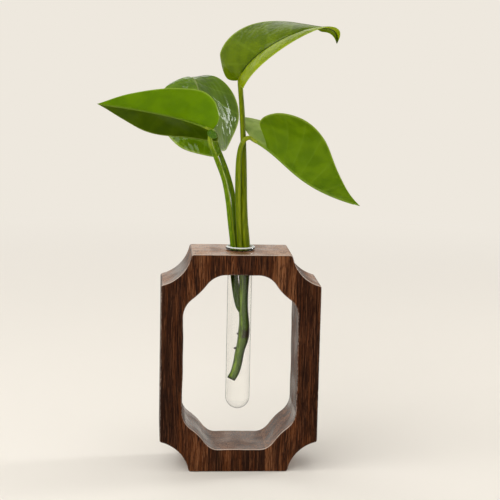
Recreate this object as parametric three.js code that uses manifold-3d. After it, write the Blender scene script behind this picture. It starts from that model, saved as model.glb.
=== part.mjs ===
// Hydroponic vase: a glued wooden frame, a test tube that hangs in its top rail, and a vine
// cutting that stands in the tube. Millimetres, +Z up, front towards -Y.
// The origin is the middle of the frame's foot.

import * as THREE from "three";
import { mergeVertices } from "three/addons/utils/BufferGeometryUtils.js";
import Module from "manifold-3d";

const wasm = await Module();
wasm.setup();

// Wooden frame
const frameWidth = 100;
const frameHeight = 140;
const frameDepth = 40;
const stileWidth = 14;
const topRailHeight = 13;
const bottomRailHeight = 15;
const scoopRadius = 24;
const scoopOutside = 5; // the scoop's centre lies this far outside the frame's side
const scoopBeyond = 4; // and this far above or below the frame's end
const scoopBand = 16.7; // wood between a scoop and the window's corner
const windowFillet = 14.1;
const easedEdge = 0.8;
const middleStrip = 36.3; // width of the wood between the two glue lines
const middleStripShift = -1.15;

// Glass test tube
const tubeDiameter = 15.4;
const tubeWall = 1.1;
const tubeLength = 106;
const lipDiameter = 18.6;
const lipHeight = 2.1;
const mouthFlare = 0.8;
const boreClearance = 0.4;
const seatGap = 0.3;

// Vine cutting
const stemRadius = 2.3;
const stemEndRadius = 1.8;
const stemSide = 1.9; // the stem stands this far right of the tube's axis
const stemDepth = 88; // from the rim down to the middle of the cut end
const nodeSwelling = 0.5;
const rootRadius = 0.7;
const rootLength = 2.4;
const plantGap = 0.3; // between strands that lie side by side
const nodeDepth = 15; // from the rim down to the vine's top node
const nodeMiddle = 0.3;
const nodeBack = 0.6;
const nodeRise = 2; // the strands leave the node straight up for this long
const strandNeck = 0.9; // a strand's thickness at the node, as a share of its own
const mouthMiddle = -0.45; // the strands pass the tube's rim side by side, this far off its axis
const mouthGap = 0.5;
const mouthRise = 1;
const leftLean = 0.75; // the left strand leans in this far just below the rim
const rearShift = 1.6; // the rear strand starts this far right of the middle of the node
const rearLean = 2.1; // and passes the rim this far left of the right strand
const bladeThickness = 0.5;
const ribRadius = 0.7;
const veinSlant = 1.25; // over 1, the side veins leave the rib nearer its base

// Each strand is a petiole and its leaf. The petiole's route is x, y, z from the tube's mouth, in
// shares of its rise, and its last point is the leaf's base. reach is how far short of it the
// petiole ends. The leaf's rib is a curve with three more control points, x, y, z from its base
// in shares of its span, and across points to its plus side. Of each half of the leaf, width is
// from rib to edge, tilt turns it up out of the flat at base and tip, lobe stretches the part
// behind the base, start moves its base along the rib, and curl bends it down towards its edge.
const strands = {
  left: {
    radius: 1.9,
    rise: 72.7,
    reach: 1.2,
    route: [
      [-0.028, -0.014, 0.206],
      [-0.052, -0.041, 0.385],
      [-0.091, -0.069, 0.571],
      [-0.16, -0.096, 0.75],
      [-0.213, -0.118, 0.88],
      [-0.222, -0.128, 0.942],
      [-0.197, -0.124, 1],
    ],
    span: 75.9,
    rib: [
      [-0.267, 0.145, 0.103],
      [-0.588, -0.199, 0.167],
      [-0.924, -0.316, 0.216],
    ],
    across: [-0.46, 0.44, -0.77],
    plus: { width: 18, tilt: [63, -25], lobe: 0.15, start: 0, curl: 0.38 },
    minus: { width: 26.1, tilt: [-18, 14], lobe: 0.45, start: 0, curl: 0 },
  },
  rear: {
    radius: 1.7,
    rise: 66.2,
    reach: 2.1,
    route: [
      [-0.018, 0.003, 0.257],
      [-0.036, 0.012, 0.464],
      [-0.089, 0.044, 0.672],
      [-0.172, 0.112, 0.876],
      [-0.216, 0.165, 1],
    ],
    span: 48.1,
    rib: [
      [-0.259, 0.249, 0.497],
      [-0.177, 0.617, 1.017],
      [-0.439, 0.798, 0.598],
    ],
    across: [0.74, 0.58, -0.2],
    plus: { width: 40.8, tilt: [-37, 24], lobe: 0.58, start: 0, curl: -0.14 },
    minus: { width: 24.5, tilt: [-4, -10], lobe: 1.15, start: 0, curl: 0.66 },
  },
  right: {
    radius: 1.95,
    rise: 67.6,
    reach: 1,
    route: [
      [-0.015, -0.015, 0.222],
      [-0.028, -0.03, 0.42],
      [-0.034, -0.044, 0.651],
      [-0.028, -0.05, 0.821],
      [-0.006, -0.047, 0.932],
      [0.031, -0.036, 0.988],
      [0.078, -0.015, 1],
    ],
    span: 81.5,
    rib: [
      [0.279, -0.152, -0.136],
      [0.281, -0.28, -0.339],
      [0.807, -0.356, -0.47],
    ],
    across: [-0.19, -0.86, 0.48],
    plus: { width: 38, tilt: [29, 83], lobe: 1.2, start: 0.17, curl: 0.4 },
    minus: { width: 32, tilt: [60, 63], lobe: 1.75, start: 0, curl: 0.23 },
  },
  top: {
    radius: 2.1,
    rise: 102.6,
    reach: 0.9,
    route: [
      [-0.014, 0.001, 0.146],
      [-0.021, 0.004, 0.263],
      [-0.025, 0.01, 0.4],
      [-0.03, 0.019, 0.546],
      [-0.041, 0.029, 0.76],
      [-0.056, 0.039, 0.945],
      [-0.065, 0.039, 1],
    ],
    span: 66,
    rib: [
      [0.029, -0.386, 0.338],
      [0.902, -0.642, 0.736],
      [0.87, -0.333, 0.365],
    ],
    across: [0.49, -0.81, -0.32],
    plus: { width: 13, tilt: [35, 28], lobe: 0.35, start: 0.06, curl: 0.26 },
    minus: { width: 26.6, tilt: [20, -28], lobe: 0.72, start: 0, curl: 0.47 },
  },
};

// Half of a heart-shaped blade, lying flat: along the rib, and out from it, as shares.
const halfOutline = [
  [0, 0],
  [-0.11, 0.42],
  [0.02, 0.86],
  [0.26, 1],
  [0.52, 0.8],
  [0.78, 0.4],
  [0.93, 0.12],
  [1, 0],
];

// Heights that follow from the sizes above
const seatZ = frameHeight + seatGap;
const rimZ = seatZ + lipHeight;
const tubeRadius = tubeDiameter / 2;
const boreRadius = tubeRadius + boreClearance;
const innerRadius = tubeRadius - tubeWall;

// How finely the round and curved pieces are divided
const tubeSides = 36;
const boreSides = 48;
const scoopSteps = 14;
const filletSteps = 7;
const bulgeSteps = 8;
const ballSteps = 9;
const stemSteps = 34;
const stemSides = 12;
const rootSteps = 3;
const rootSides = 8;
const petioleSteps = 30;
const petioleSides = 10;
const ribPoints = 12;
const ribSteps = 14;
const ribSides = 6;
const bladeSteps = 20;
const bladeRows = 4;

const darkWood = { color: 0x55321f, roughness: 0.42, metalness: 0 };
const middleWood = { color: 0x4a2b1b, roughness: 0.42, metalness: 0 };
const clearGlass = { color: 0xe6efec, roughness: 0.04, metalness: 0, transparent: true, opacity: 0.3 };
const stemGreen = { color: 0x6b7f2c, roughness: 0.5, metalness: 0 };
const leafGreen = { color: 0x4c8216, roughness: 0.35, metalness: 0 };

const outlineCurve = new THREE.SplineCurve(halfOutline.map((point) => new THREE.Vector2(...point)));

const vase = new THREE.Group();

function solid(geometry) {
  const bare = geometry.clone();
  bare.deleteAttribute("normal");
  bare.deleteAttribute("uv");
  const merged = mergeVertices(bare, 1e-4);
  const triangles = [];
  const index = merged.index.array;
  for (let i = 0; i < index.length; i += 3) {
    const [a, b, c] = [index[i], index[i + 1], index[i + 2]];
    if (a !== b && b !== c && c !== a) triangles.push(a, b, c);
  }
  return new wasm.Manifold(
    new wasm.Mesh({
      numProp: 3,
      vertProperties: new Float32Array(merged.attributes.position.array),
      triVerts: new Uint32Array(triangles),
    }),
  );
}

function addPart(name, body, finish) {
  const mesh = body.getMesh();
  const geometry = new THREE.BufferGeometry();
  geometry.setAttribute("position", new THREE.BufferAttribute(new Float32Array(mesh.vertProperties), 3));
  geometry.setIndex(new THREE.BufferAttribute(new Uint32Array(mesh.triVerts), 1));
  geometry.computeVertexNormals();
  const part = new THREE.Mesh(geometry, new THREE.MeshStandardMaterial(finish));
  part.name = name;
  vase.add(part);
}

// Points of an arc in a plane; angles are in radians and may run either way.
function arc(centreX, centreY, radius, from, to, steps) {
  const points = [];
  for (let i = 0; i <= steps; i += 1) {
    const angle = from + ((to - from) * i) / steps;
    points.push(new THREE.Vector2(centreX + radius * Math.cos(angle), centreY + radius * Math.sin(angle)));
  }
  return points;
}

// One corner of a four-cornered outline, drawn for the lower left and mirrored to the others.
// The lower left and upper right keep their order round the outline, the other two reverse it.
function mirrored(points, onRight, onTop) {
  const turned = points.map(
    (p) => new THREE.Vector2(onRight ? -p.x : p.x, onTop ? frameHeight - p.y : p.y),
  );
  return onRight === onTop ? turned : turned.reverse();
}

// The scooped corner of the frame, from the foot round to the side.
function scoopCorner() {
  const centreX = -frameWidth / 2 - scoopOutside;
  const centreY = -scoopBeyond;
  const atFoot = Math.asin(scoopBeyond / scoopRadius);
  const atSide = Math.acos(scoopOutside / scoopRadius);
  return arc(centreX, centreY, scoopRadius, atFoot, atSide, scoopSteps);
}

// The window's corner, from the rail round to the stile: a fillet, the bulge that follows the
// scoop, and a second fillet.
function windowCorner(railHeight) {
  const scoopX = -frameWidth / 2 - scoopOutside;
  const scoopY = -scoopBeyond;
  const bulge = scoopRadius + scoopBand;
  const reach = bulge + windowFillet;
  const railY = railHeight + windowFillet;
  const railX = scoopX + Math.sqrt(reach ** 2 - (railY - scoopY) ** 2);
  const stileX = -frameWidth / 2 + stileWidth + windowFillet;
  const stileY = scoopY + Math.sqrt(reach ** 2 - (stileX - scoopX) ** 2);
  const railAngle = Math.atan2(railY - scoopY, railX - scoopX);
  const stileAngle = Math.atan2(stileY - scoopY, stileX - scoopX);
  return [
    ...arc(railX, railY, windowFillet, -Math.PI / 2, railAngle - Math.PI, filletSteps),
    ...arc(scoopX, scoopY, bulge, railAngle, stileAngle, bulgeSteps).slice(1, -1),
    ...arc(stileX, stileY, windowFillet, stileAngle + Math.PI, Math.PI, filletSteps),
  ];
}

// A closed outline with a corner at each end of both stiles, clockwise seen from the front.
function fourCorners(lower, upper) {
  return [
    ...mirrored(lower, false, false),
    ...mirrored(upper, false, true),
    ...mirrored(upper, true, true),
    ...mirrored(lower, true, false),
  ];
}

// The whole frame in one piece, before its glue lines part it.
function frameBlank() {
  const scoop = scoopCorner();
  const outline = new THREE.Shape(fourCorners(scoop, scoop).reverse());
  const window = new THREE.Path(
    fourCorners(windowCorner(bottomRailHeight), windowCorner(topRailHeight)),
  );
  outline.holes.push(window);
  const geometry = new THREE.ExtrudeGeometry(outline, {
    depth: frameDepth - 2 * easedEdge,
    bevelThickness: easedEdge,
    bevelSize: easedEdge,
    bevelOffset: -easedEdge,
    bevelSegments: 2,
  });
  geometry.translate(0, 0, easedEdge - frameDepth / 2);
  geometry.rotateX(Math.PI / 2);
  return solid(geometry);
}

function box(lowX, lowZ, highX, highZ) {
  const deep = frameDepth * 2;
  const geometry = new THREE.BoxGeometry(highX - lowX, deep, highZ - lowZ);
  geometry.translate((lowX + highX) / 2, 0, (lowZ + highZ) / 2);
  return solid(geometry);
}

function addFrame() {
  const blank = frameBlank();
  const leftGlue = middleStripShift - middleStrip / 2;
  const rightGlue = middleStripShift + middleStrip / 2;
  const side = frameWidth;
  const low = -frameHeight;
  const high = 2 * frameHeight;
  const middle = frameHeight / 2;
  const boreLength = 4 * topRailHeight;
  const boreGeometry = new THREE.CylinderGeometry(boreRadius, boreRadius, boreLength, boreSides);
  boreGeometry.rotateX(Math.PI / 2);
  boreGeometry.translate(0, 0, frameHeight);
  const bored = blank.subtract(solid(boreGeometry));
  addPart("frame_left_stave", bored.intersect(box(-side, low, leftGlue, high)), darkWood);
  addPart("frame_right_stave", bored.intersect(box(rightGlue, low, side, high)), darkWood);
  addPart("frame_top_block", bored.intersect(box(leftGlue, middle, rightGlue, high)), middleWood);
  addPart("frame_bottom_block", bored.intersect(box(leftGlue, low, rightGlue, middle)), middleWood);
}

// The tube's outline from its outer pole up over the lip and down the inside.
function tubeProfile() {
  const bottomZ = rimZ - tubeLength;
  const ballZ = bottomZ + tubeRadius;
  const lipRadius = lipDiameter / 2;
  const half = lipHeight / 2;
  const mouth = innerRadius + mouthFlare;
  const bead = Math.min(half, (lipRadius - mouth) / 2);
  return [
    ...arc(0, ballZ, tubeRadius, -Math.PI / 2, 0, ballSteps),
    new THREE.Vector2(tubeRadius, seatZ - tubeWall),
    new THREE.Vector2(tubeRadius + boreClearance / 2, seatZ),
    ...arc(lipRadius - half, seatZ + half, half, -Math.PI / 2, Math.PI / 2, 6),
    ...arc(mouth + bead, rimZ - bead, bead, Math.PI / 2, Math.PI, 3),
    new THREE.Vector2(innerRadius, seatZ - lipHeight),
    ...arc(0, ballZ, innerRadius, 0, -Math.PI / 2, ballSteps),
  ];
}

function addTube() {
  const geometry = new THREE.LatheGeometry(onAxis(tubeProfile()), tubeSides);
  geometry.rotateX(Math.PI / 2);
  addPart("glass_tube", solid(geometry), clearGlass);
}

// A lathe profile's first and last points lie exactly on the axis.
function onAxis(points) {
  points[0].x = 0;
  points[points.length - 1].x = 0;
  return points;
}

// A round limb of changing thickness along a smooth curve, closed at both ends.
function limb(points, radii, steps, sides) {
  const curve = new THREE.CatmullRomCurve3(points, false, "centripetal");
  const thickness = new THREE.SplineCurve(radii.map((r, i) => new THREE.Vector2(i, r)));
  const frames = curve.computeFrenetFrames(steps, false);
  const rings = [];
  for (let i = 0; i <= steps; i += 1) {
    const centre = curve.getPointAt(i / steps);
    const radius = thickness.getPoint(i / steps).y;
    const ring = [];
    for (let j = 0; j < sides; j += 1) {
      const angle = (2 * Math.PI * j) / sides;
      const out = frames.normals[i].clone().multiplyScalar(Math.cos(angle));
      out.addScaledVector(frames.binormals[i], Math.sin(angle));
      ring.push(centre.clone().addScaledVector(out, radius));
    }
    rings.push(ring);
  }
  const corners = [];
  for (let i = 0; i < steps; i += 1) {
    for (let j = 0; j < sides; j += 1) {
      const k = (j + 1) % sides;
      corners.push(rings[i][j], rings[i][k], rings[i + 1][k]);
      corners.push(rings[i][j], rings[i + 1][k], rings[i + 1][j]);
    }
  }
  for (let j = 0; j < sides; j += 1) {
    const k = (j + 1) % sides;
    corners.push(curve.getPointAt(0), rings[0][k], rings[0][j]);
    corners.push(curve.getPointAt(1), rings[steps][j], rings[steps][k]);
  }
  return solid(new THREE.BufferGeometry().setFromPoints(corners));
}

// A point of the cutting: x and y from the tube's axis, and height above the tube's rim.
function at(x, y, height) {
  return new THREE.Vector3(x, y, rimZ + height);
}

// How far a strand stands from the right one, which is in the middle, at the mouth and the node.
function besideMouth(own) {
  return strands.right.radius + own + mouthGap;
}

function besideNode(own) {
  return strandNeck * (strands.right.radius + own) + plantGap;
}

function addStem() {
  const first = at(stemSide, 0, -nodeDepth - plantGap);
  const below = [
    [0.024, 0, -0.256],
    [0.0216, 0, -0.426],
    [0.0295, 0, -0.585],
    [0.024, 0, -0.688],
    [0.008, 0, -0.778],
    [-0.0034, 0, -0.869],
    [-0.024, -0.0034, -0.955],
    [-0.036, -0.006, -1],
  ].map((share) => at(...share.map((each) => each * stemDepth)));
  const swollen = stemRadius + nodeSwelling;
  const radii = [
    swollen,
    stemRadius,
    stemRadius,
    stemRadius,
    swollen,
    stemRadius,
    stemEndRadius,
    stemEndRadius,
  ];
  const stem = limb([first, ...below], radii, stemSteps, stemSides);
  const roots = [
    [0.0034, -0.642],
    [-0.0114, -0.75],
  ].map(([side, depth]) => {
    const root = at(side * stemDepth, 0, depth * stemDepth);
    const end = root.clone().add(new THREE.Vector3(-rootLength, 0, -rootLength / 4));
    return limb([root, end], [rootRadius, rootRadius / 2], rootSteps, rootSides);
  });
  addPart("vine_stem", roots.reduce((whole, root) => whole.add(root), stem), stemGreen);
}

// Two points of a strand that rises from the vine's top node.
function fromNode(x, y) {
  return [at(x, y, -nodeDepth), at(x, y, nodeRise - nodeDepth)];
}

// Each strand's way up inside the tube, and last the place where it passes the mouth.
function insideTube(name) {
  const { radius } = strands[name];
  const besideStem = stemSide - stemRadius - radius - 2 * plantGap;
  const leftOfMiddle = mouthMiddle - besideMouth(radius);
  const ways = {
    left: [
      at(besideStem, -0.4, -0.432 * stemDepth),
      at(besideStem, -0.6, -0.273 * stemDepth),
      at(leftOfMiddle + leftLean, -0.9, -0.08 * stemDepth),
      at(leftOfMiddle, -1, mouthRise),
    ],
    rear: [
      ...fromNode(nodeMiddle + rearShift, besideNode(radius) - nodeBack),
      at(mouthMiddle - rearLean, strands.right.radius + radius + plantGap, mouthRise),
    ],
    right: [...fromNode(nodeMiddle, -nodeBack), at(mouthMiddle, 0, mouthRise)],
    top: [
      ...fromNode(nodeMiddle + besideNode(radius), -nodeBack),
      at(mouthMiddle + besideMouth(radius), 0, mouthRise),
    ],
  };
  return ways[name];
}

// Points given from a start as shares of a length.
function fromShares(start, shares, length) {
  return shares.map((share) => new THREE.Vector3(...share).multiplyScalar(length).add(start));
}

// A petiole's whole route, up to the base of its leaf.
function petioleRoute(name) {
  const { route, rise } = strands[name];
  const inside = insideTube(name);
  return [...inside, ...fromShares(inside.at(-1), route, rise)];
}

function addPetiole(name) {
  const { radius, reach } = strands[name];
  const route = petioleRoute(name);
  const base = route.pop();
  const forward = base.clone().sub(route.at(-1)).normalize();
  route.push(base.clone().addScaledVector(forward, -reach));
  const radii = [strandNeck, 1, 0.95, 0.88, 0.8, 0.72].map((share) => share * radius);
  addPart("petiole_" + name, limb(route, radii, petioleSteps, petioleSides), stemGreen);
}

// The middle rib of a strand's leaf, from the base to the tip.
function leafRib(name) {
  const base = petioleRoute(name).at(-1);
  const { rib, span } = strands[name];
  return new THREE.CubicBezierCurve3(base, ...fromShares(base, rib, span));
}

// A point of a half blade and its upward normal. edge runs from base to tip along the outline
// and out runs from the rib (0) to the outline (1).
function bladePoint(leaf, rib, side, edge, out) {
  const half = side > 0 ? leaf.plus : leaf.minus;
  const flat = outlineCurve.getPoint(edge);
  const along = flat.x < 0 ? flat.x * half.lobe : flat.x;
  const foot = half.start + (1 - half.start) * edge ** veinSlant;
  const place = THREE.MathUtils.lerp(foot, half.start + (1 - half.start) * along, out);
  const onRib = THREE.MathUtils.clamp(place, 0, 1);
  const wide = Math.max(flat.y, 0) * out;
  const forward = rib.getTangent(onRib);
  const across = new THREE.Vector3(...leaf.across);
  across.addScaledVector(forward, -across.dot(forward)).normalize();
  const up = across.clone().cross(forward);
  const tilt = THREE.MathUtils.degToRad(THREE.MathUtils.lerp(...half.tilt, onRib));
  const outward = across.multiplyScalar(side * Math.cos(tilt)).addScaledVector(up, Math.sin(tilt));
  const normal = outward.clone().cross(forward).multiplyScalar(side);
  const speed = 3 * rib.v0.distanceTo(rib.v1);
  const point = rib.getPoint(onRib);
  point.addScaledVector(rib.getTangent(0), Math.min(place, 0) * speed);
  point.addScaledVector(outward, wide * half.width);
  point.addScaledVector(normal, -half.curl * wide ** 2 * half.width);
  return { point, normal };
}

// The normal of the surface at a point of the grid, on the side that the leaf calls up.
function surfaceNormal(grid, i, j) {
  const facing = grid[i][j].normal;
  if (i === 0 || i === bladeSteps) return facing;
  const along = grid[i + 1][j].point.clone().sub(grid[i - 1][j].point);
  const outward = grid[i][Math.min(j + 1, bladeRows)].point.clone();
  outward.sub(grid[i][Math.max(j - 1, 0)].point);
  const normal = outward.cross(along).normalize();
  return normal.dot(facing) < 0 ? normal.negate() : normal;
}

// A half blade as a thin closed sheet, thickened along the true normal of its surface.
function halfBlade(leaf, rib, side) {
  const steps = Array.from({ length: bladeSteps + 1 }, (_, i) => i / bladeSteps);
  const rows = Array.from({ length: bladeRows + 1 }, (_, j) => j / bladeRows);
  const grid = steps.map((edge) => rows.map((out) => bladePoint(leaf, rib, side, edge, out)));
  const skin = grid.map((line, i) =>
    line.map(({ point }, j) => {
      const offset = surfaceNormal(grid, i, j).clone().multiplyScalar(bladeThickness / 2);
      return [point.clone().sub(offset), point.clone().add(offset)];
    }),
  );
  const corners = [];
  function face(a, b, c, d) {
    const turned = side > 0 ? [a, b, c, a, c, d] : [c, b, a, d, c, a];
    corners.push(...turned);
  }
  for (let i = 0; i < bladeSteps; i += 1) {
    const [here, next] = [skin[i], skin[i + 1]];
    for (let j = 0; j < bladeRows; j += 1) {
      face(here[j][1], here[j + 1][1], next[j + 1][1], next[j][1]);
      face(next[j][0], next[j + 1][0], here[j + 1][0], here[j][0]);
    }
    face(here[0][0], here[0][1], next[0][1], next[0][0]);
    face(here[bladeRows][1], here[bladeRows][0], next[bladeRows][0], next[bladeRows][1]);
  }
  return solid(new THREE.BufferGeometry().setFromPoints(corners));
}

// The body without the slivers that the two halves may enclose along the rib.
function filled(body) {
  return body.decompose().reduce((most, next) => (next.volume() > most.volume() ? next : most));
}

function addLeaf(name) {
  const leaf = strands[name];
  const rib = leafRib(name);
  const ribRadii = [ribRadius, 0.8 * ribRadius, 0.5 * ribRadius];
  const ribBody = limb(rib.getSpacedPoints(ribPoints), ribRadii, ribSteps, ribSides);
  const blade = halfBlade(leaf, rib, 1).add(halfBlade(leaf, rib, -1)).add(ribBody);
  addPart("leaf_" + name, filled(blade), leafGreen);
}

addFrame();
addTube();
addStem();
Object.keys(strands).forEach(addPetiole);
Object.keys(strands).forEach(addLeaf);

export default vase;
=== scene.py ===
# The looks of a hydroponic vase: a glued wooden frame, a glass test tube with water, and a vine
# cutting. Lengths are in metres, +Z up, front towards -Y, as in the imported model.
from math import acos, asin, atan2, ceil, copysign, cos, pi, radians, sin, sqrt, tan

import bmesh
import bpy
import numpy as np
from mathutils import Matrix, Vector


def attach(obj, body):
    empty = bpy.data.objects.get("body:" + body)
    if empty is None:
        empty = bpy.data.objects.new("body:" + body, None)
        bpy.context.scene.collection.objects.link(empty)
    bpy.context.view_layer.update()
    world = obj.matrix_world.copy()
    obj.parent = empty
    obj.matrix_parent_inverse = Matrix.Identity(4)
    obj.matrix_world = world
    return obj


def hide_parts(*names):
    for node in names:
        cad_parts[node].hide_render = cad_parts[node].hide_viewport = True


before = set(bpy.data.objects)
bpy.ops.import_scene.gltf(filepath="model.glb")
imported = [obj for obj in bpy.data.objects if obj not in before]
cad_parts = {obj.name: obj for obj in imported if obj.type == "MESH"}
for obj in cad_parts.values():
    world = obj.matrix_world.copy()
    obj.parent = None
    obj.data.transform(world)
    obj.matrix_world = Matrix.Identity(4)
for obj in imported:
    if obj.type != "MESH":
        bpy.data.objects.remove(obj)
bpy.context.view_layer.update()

MM = 0.001

# Wooden frame
FRAME_WIDTH = 100 * MM
FRAME_HEIGHT = 140 * MM
FRAME_DEPTH = 40 * MM
STILE_WIDTH = 14 * MM
TOP_RAIL_HEIGHT = 13 * MM
BOTTOM_RAIL_HEIGHT = 15 * MM
SCOOP_RADIUS = 24 * MM
SCOOP_OUTSIDE = 5 * MM
SCOOP_BEYOND = 4 * MM
SCOOP_BAND = 16.7 * MM
WINDOW_FILLET = 14.1 * MM
EASED_EDGE = 0.8 * MM
LEFT_GLUE = -19.3 * MM
RIGHT_GLUE = 17 * MM
CORNER_ROUNDING = 1.6 * MM  # of the corners beside the scoops, seen from the front
WEAR_REACH = 0.3 * MM  # how far past an eased edge the finish is rubbed
OUTLINE_STEP = 2 * MM  # longest step of the outline, and twice the window's
HAND_CUT = 0.22 * MM  # how far the window's sawn outline wanders
LONG_WANDER = 9.5 * MM  # the wander's two lengths, for each radian
SHORT_WANDER = 3.7 * MM
STEADY_ENDS = 6 * MM  # without wander at the window's middle, where its halves meet
WINDOW_DIP = 0.55 * MM  # the window's foot is cut a little deeper beside its corners
DIP_PLACE = 17 * MM
DIP_WIDTH = 4.5 * MM
GLUE_TURN = 3 * MM  # how far from a glue line the eased edge turns to run along it
LEFT_SHIFT = 2.1  # phases of the wander on the window's two sides
RIGHT_SHIFT = 0.7
BORE_EASE = 0.4 * MM
WOOD_SHARP = 35  # edges sharper than this many degrees are shown crisp

# Glass test tube and its water
TUBE_DIAMETER = 15.4 * MM
TUBE_WALL = 1.1 * MM
TUBE_LENGTH = 106 * MM
LIP_DIAMETER = 18.6 * MM
LIP_HEIGHT = 2.1 * MM
MOUTH_FLARE = 0.8 * MM
BORE_CLEARANCE = 0.4 * MM
SEAT_GAP = 0.3 * MM
WATER_LEVEL = 127 * MM  # above the frame's foot, behind the top rail
WATER_IN_GLASS = 0.05 * MM  # the water's skin lies this deep in the glass, so no air shows
MENISCUS = 0.9 * MM  # its height, and its reach from the glass
TUBE_SIDES = 160

# Vine cutting
STEM_RADIUS = 2.3 * MM
STEM_END_RADIUS = 2.2 * MM
STEM_SIDE = 1.9 * MM
STEM_DEPTH = 88 * MM
NODE_SWELLING = 0.5 * MM
ROOT_RADIUS = 0.7 * MM
ROOT_LENGTH = 2.4 * MM
ROOT_PLACES = ((0.0034, -0.642), (-0.0114, -0.75))  # x and height, in shares of the stem's depth
# x, y and height below the rim, in shares of the stem's depth
STEM_ROUTE = [
    (0.024, 0, -0.256), (0.0216, 0, -0.426), (0.0295, 0, -0.585), (0.024, 0, -0.688),
    (0.008, 0, -0.778), (-0.0034, 0, -0.869), (-0.019, -0.0034, -0.94), (-0.04, -0.006, -0.983),
]
STEM_FLUTE = 0.012  # how far its ribs stand out, in shares of its radius
FLUTES = 7
STALK_GROOVE = 0.16  # how deep it is, in shares of the stalk's radius
GROOVE_ANGLE = 0.45
JOINT_PLACE, JOINT_REACH = 0.91, 0.035  # in shares of the stalk's length
JOINT_SWELLING = 0.1
FOOT_NARROWING = 0.4
PLANT_GAP = 0.3 * MM
NODE_DEPTH = 15 * MM
NODE_MIDDLE = 0.3 * MM
NODE_BACK = 0.6 * MM
NODE_MERGE = 6 * MM  # how far below the node the stalks have merged into the stem
FOOT_REACH = 0.6 * NODE_MERGE
NODE_RISE = 2 * MM
STRAND_NECK = 0.9
MOUTH_MIDDLE = -0.45 * MM
MOUTH_GAP = 0.5 * MM
MOUTH_RISE = 1 * MM
LEFT_LEAN = 0.75 * MM
LEFT_FOOT_SHIFT = (2.6 * MM, 0.6 * MM)  # the left stalk runs nearer the stem than packed
REAR_SHIFT = 1.6 * MM
REAR_LEAN = 2.1 * MM
BLADE_THICKNESS = 0.5 * MM
RIB_RADIUS = 0.7 * MM
VEIN_SLANT = 1.25
FOLD_SLANT = radians(25)
# the left leaf's lobe is rolled in front of its stalk: places from the leaf's base
ROLLED_LOBE = [
    (-0.0024, -0.001, -0.0004), (-0.0016, -0.003, -0.0016),
    (0.0002, -0.0034, -0.003), (0.0024, -0.0024, -0.0042),
]
MARGIN_WAVE = 0.25 * MM
MARGIN_WAVES = 2.6
RIB_GROOVE = 0.3 * MM
RIB_GROOVE_WIDTH = 1.1 * MM
BLADE_ROWS = 110
BLADE_COLUMNS = 20

SEAT_Z = FRAME_HEIGHT + SEAT_GAP
RIM_Z = SEAT_Z + LIP_HEIGHT
TUBE_RADIUS = TUBE_DIAMETER / 2
INNER_RADIUS = TUBE_RADIUS - TUBE_WALL
BORE_RADIUS = TUBE_RADIUS + BORE_CLEARANCE
BALL_Z = RIM_Z - TUBE_LENGTH + TUBE_RADIUS  # middle of the tube's round end

# Each strand is a petiole and its leaf: route is x, y, z from the tube's mouth in shares of rise,
# and rib is x, y, z from the leaf's base in shares of span. Each half of a blade, plus and minus,
# has its width, its tilt in degrees at base and tip, its lobe, its start and its curl. All these
# are as packed, but the rear leaf's plus half is 1 mm narrower, so that its relief stays inside
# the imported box. Veins to a side and their relief are for the looks.
STRANDS = {
    "left": {
        "radius": 1.9 * MM,
        "rise": 72.7 * MM,
        "route": [
            (-0.028, -0.014, 0.206), (-0.052, -0.041, 0.385), (-0.091, -0.069, 0.571),
            (-0.16, -0.096, 0.75), (-0.213, -0.118, 0.88), (-0.222, -0.128, 0.942),
            (-0.197, -0.124, 1),
        ],
        "span": 75.9 * MM,
        "rib": [(-0.267, 0.145, 0.103), (-0.588, -0.199, 0.167), (-0.924, -0.316, 0.216)],
        "across": (-0.46, 0.44, -0.77),
        "plus": (18 * MM, (63, -25), 0.15, 0, 0.38),
        "minus": (26.1 * MM, (-18, 14), 0.45, 0, 0),
        "veins": 9,
        "relief": 0.1 * MM,
    },
    "rear": {
        "radius": 1.7 * MM,
        "rise": 66.2 * MM,
        "route": [
            (-0.018, 0.003, 0.257), (-0.036, 0.012, 0.464), (-0.089, 0.044, 0.672),
            (-0.172, 0.112, 0.876), (-0.216, 0.165, 1),
        ],
        "span": 48.1 * MM,
        "rib": [(-0.259, 0.249, 0.497), (-0.177, 0.617, 1.017), (-0.439, 0.798, 0.598)],
        "across": (0.74, 0.58, -0.2),
        "plus": (39.8 * MM, (-37, 24), 0.58, 0, -0.14),
        "minus": (24.5 * MM, (-4, -10), 1.15, 0, 0.66),
        "veins": 11,
        "relief": 0.32 * MM,
    },
    "right": {
        "radius": 1.95 * MM,
        "rise": 67.6 * MM,
        "route": [
            (-0.015, -0.015, 0.222), (-0.028, -0.03, 0.42), (-0.034, -0.044, 0.651),
            (-0.028, -0.05, 0.821), (-0.006, -0.047, 0.932), (0.031, -0.036, 0.988),
            (0.078, -0.015, 1),
        ],
        "span": 81.5 * MM,
        "rib": [(0.279, -0.152, -0.136), (0.281, -0.28, -0.339), (0.807, -0.356, -0.47)],
        "across": (-0.19, -0.86, 0.48),
        "plus": (38 * MM, (29, 83), 1.2, 0.17, 0.4),
        "minus": (32 * MM, (60, 63), 1.75, 0, 0.23),
        "veins": 9,
        "relief": 0.25 * MM,
    },
    "top": {
        "radius": 2.1 * MM,
        "rise": 102.6 * MM,
        "route": [
            (-0.014, 0.001, 0.146), (-0.021, 0.004, 0.263), (-0.025, 0.01, 0.4),
            (-0.03, 0.019, 0.546), (-0.041, 0.029, 0.76), (-0.056, 0.039, 0.945),
            (-0.065, 0.039, 1),
        ],
        "span": 66 * MM,
        "rib": [(0.029, -0.386, 0.338), (0.902, -0.642, 0.736), (0.87, -0.333, 0.365)],
        "across": (0.49, -0.81, -0.32),
        "plus": (13 * MM, (35, 28), 0.35, 0.06, 0.26),
        "minus": (26.6 * MM, (20, -28), 0.72, 0, 0.47),
        "veins": 9,
        "relief": 0.12 * MM,
    },
}
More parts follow.
